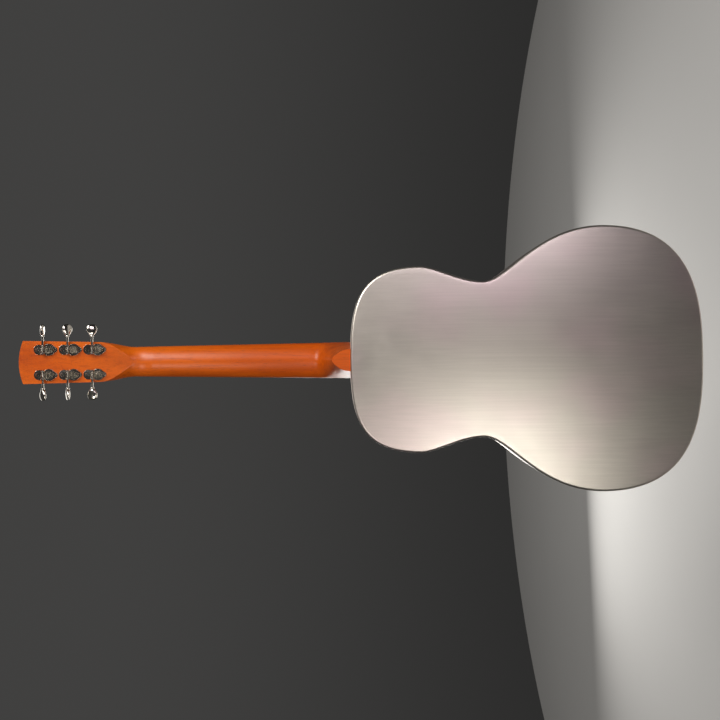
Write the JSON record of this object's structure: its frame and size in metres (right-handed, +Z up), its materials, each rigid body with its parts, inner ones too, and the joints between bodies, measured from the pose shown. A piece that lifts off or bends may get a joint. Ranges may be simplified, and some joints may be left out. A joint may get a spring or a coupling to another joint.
{
  "type": "resonator guitar",
  "caption": "Metal-bodied resonator guitar: arched brushed-metal back, coverplate over a spun cone, slim mahogany neck joined twelve frets up, solid head with open-geared tuners.",
  "frame": {"origin": "middle of the strap button's head, on its axis at the tail end of the body", "axes": "+Z runs up the neck to the headstock, +X is the treble side seen from the front, and the front (strings) faces -Y"},
  "size_m": [0.3766, 0.1205, 0.9884],
  "materials": {
    "body_metal": "brushed along the body's length, nickel-coloured, with polished rims",
    "nickel": "polished nickel plate",
    "steel": "plain",
    "cone_aluminium": "spun, matt",
    "maple": "plain",
    "mahogany": "satin orange-brown stain, fine open grain",
    "dark_wood": "oiled",
    "fret_metal": "polished",
    "pearl": "pearly",
    "bone": "polished bone",
    "black_plastic": "gloss",
    "gear_brass": "nickel-plated brass",
    "plain_string": "plain steel wire",
    "wound_string": "bronze-wound wire"
  },
  "bodies": {
    "guitar": {"bass_side": "body_metal", "biscuit_screw": "steel", "body_back": "body_metal", "body_top": "body_metal", "bridge_biscuit": "maple", "bridge_saddle": "maple", "coverplate": "nickel", "coverplate_screws": "nickel", "fingerboard": "dark_wood", "fret_markers": "pearl", "frets": "fret_metal", "head_overlay": "dark_wood", "neck": "mahogany", "neck_stick": "maple", "nut": "bone", "palm_rest": "nickel", "palm_rest_screws": "nickel", "resonator_cone": "cone_aluminium", "soundwell": "steel", "stick_posts": "maple", "strap_button": "nickel", "string_1": "plain_string", "string_2": "plain_string", "string_3": "wound_string", "string_4": "wound_string", "string_5": "wound_string", "string_6": "wound_string", "tailpiece": "nickel", "treble_side": "body_metal", "truss_cover": "black_plastic", "truss_cover_screws": "nickel", "truss_rod": "steel", "tuner_bushings": "nickel", "tuner_plates": "nickel", "tuner_screws": "nickel"},
    "tuner_key_1": {"worm_1": "nickel", "button_1": "nickel"},
    "string_post_1": {"post_1": "nickel", "gear_1": "gear_brass"},
    "tuner_key_2": {"worm_2": "nickel", "button_2": "nickel"},
    "string_post_2": {"post_2": "nickel", "gear_2": "gear_brass"},
    "tuner_key_3": {"worm_3": "nickel", "button_3": "nickel"},
    "string_post_3": {"post_3": "nickel", "gear_3": "gear_brass"},
    "tuner_key_4": {"worm_4": "nickel", "button_4": "nickel"},
    "string_post_4": {"post_4": "nickel", "gear_4": "gear_brass"},
    "tuner_key_5": {"worm_5": "nickel", "button_5": "nickel"},
    "string_post_5": {"post_5": "nickel", "gear_5": "gear_brass"},
    "tuner_key_6": {"worm_6": "nickel", "button_6": "nickel"},
    "string_post_6": {"post_6": "nickel", "gear_6": "gear_brass"},
    "truss_adjuster": {"truss_nut": "steel"}
  },
  "joints": [
    {"name": "knob_1", "type": "hinge", "parent": "guitar", "child": "tuner_key_1", "pos_m": [0.0182, 0.00702, 0.88525], "axis": [1, 0, 0], "continuous": true},
    {"name": "post_turn_1", "type": "hinge", "parent": "guitar", "child": "string_post_1", "pos_m": [0.0182, 0.005, 0.87782], "axis": [0, 0.965, -0.2622], "continuous": true},
    {"name": "knob_2", "type": "hinge", "parent": "guitar", "child": "tuner_key_2", "pos_m": [0.0182, 0.01581, 0.91763], "axis": [1, 0, 0], "continuous": true},
    {"name": "post_turn_2", "type": "hinge", "parent": "guitar", "child": "string_post_2", "pos_m": [0.0182, 0.01379, 0.9102], "axis": [0, 0.965, -0.2622], "continuous": true},
    {"name": "knob_3", "type": "hinge", "parent": "guitar", "child": "tuner_key_3", "pos_m": [0.0182, 0.02461, 0.95], "axis": [1, 0, 0], "continuous": true},
    {"name": "post_turn_3", "type": "hinge", "parent": "guitar", "child": "string_post_3", "pos_m": [0.0182, 0.02259, 0.94257], "axis": [0, 0.965, -0.2622], "continuous": true},
    {"name": "knob_4", "type": "hinge", "parent": "guitar", "child": "tuner_key_4", "pos_m": [-0.0182, 0.02461, 0.95], "axis": [-1, 0, 0], "continuous": true},
    {"name": "post_turn_4", "type": "hinge", "parent": "guitar", "child": "string_post_4", "pos_m": [-0.0182, 0.02259, 0.94257], "axis": [0, 0.965, -0.2622], "continuous": true},
    {"name": "knob_5", "type": "hinge", "parent": "guitar", "child": "tuner_key_5", "pos_m": [-0.0182, 0.01581, 0.91763], "axis": [-1, 0, 0], "continuous": true},
    {"name": "post_turn_5", "type": "hinge", "parent": "guitar", "child": "string_post_5", "pos_m": [-0.0182, 0.01379, 0.9102], "axis": [0, 0.965, -0.2622], "continuous": true},
    {"name": "knob_6", "type": "hinge", "parent": "guitar", "child": "tuner_key_6", "pos_m": [-0.0182, 0.00702, 0.88525], "axis": [-1, 0, 0], "continuous": true},
    {"name": "post_turn_6", "type": "hinge", "parent": "guitar", "child": "string_post_6", "pos_m": [-0.0182, 0.005, 0.87782], "axis": [0, 0.965, -0.2622], "continuous": true},
    {"name": "truss_adjust", "type": "hinge", "parent": "guitar", "child": "truss_adjuster", "pos_m": [0, -0.02052, 0.83949], "axis": [0, 0.0384, 0.9993], "range_deg": [-180, 180]}
  ],
  "couplings": [
    {"joint": "post_turn_1", "follows": "knob_1", "ratio": -0.055556},
    {"joint": "post_turn_2", "follows": "knob_2", "ratio": -0.055556},
    {"joint": "post_turn_3", "follows": "knob_3", "ratio": -0.055556},
    {"joint": "post_turn_4", "follows": "knob_4", "ratio": 0.055556},
    {"joint": "post_turn_5", "follows": "knob_5", "ratio": 0.055556},
    {"joint": "post_turn_6", "follows": "knob_6", "ratio": 0.055556}
  ]
}
